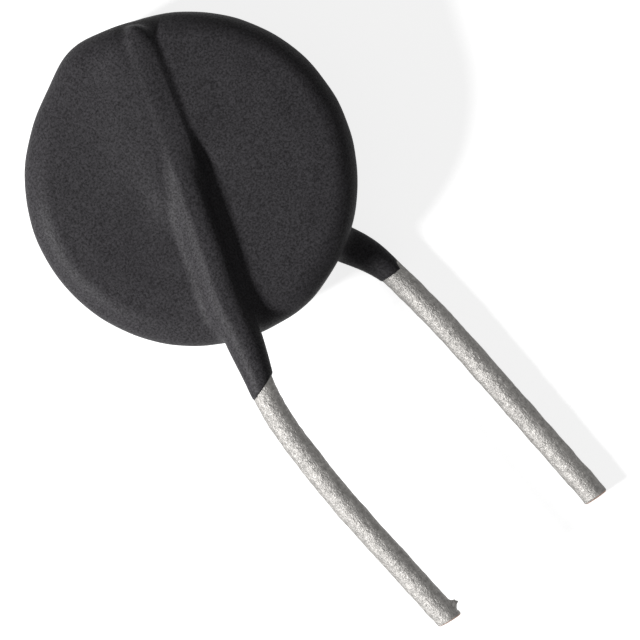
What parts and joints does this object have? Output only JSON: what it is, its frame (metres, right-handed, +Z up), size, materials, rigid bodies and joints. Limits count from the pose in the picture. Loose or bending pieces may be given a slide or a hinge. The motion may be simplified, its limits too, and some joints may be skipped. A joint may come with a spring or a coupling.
{
  "type": "ntc thermistor",
  "caption": "Disc thermistor that limits inrush current: a dip-coated ceramic disc with tinned wires crossing on opposite faces and ending in parallel leads.",
  "frame": {"origin": "middle of the floor area under the part as it lies at rest", "axes": "+Z up from the floor, with the disc's axis 3 degrees off it; the leads run towards -Y and the drip point of the coating is at +Y; the front wire is on top and leaves at -X"},
  "size_m": [0.0128, 0.0266, 0.0055],
  "materials": {
    "black_coating": "matte",
    "sintered_oxide": "matte",
    "silver_electrode": "satin",
    "solder": "satin",
    "tinned_wire": "satin"
  },
  "bodies": {
    "root": {"coating": "black_coating", "ceramic_disc": "sintered_oxide", "front_electrode": "silver_electrode", "rear_electrode": "silver_electrode", "front_solder": "solder", "rear_solder": "solder", "front_lead": "tinned_wire", "rear_lead": "tinned_wire"}
  },
  "joints": []
}
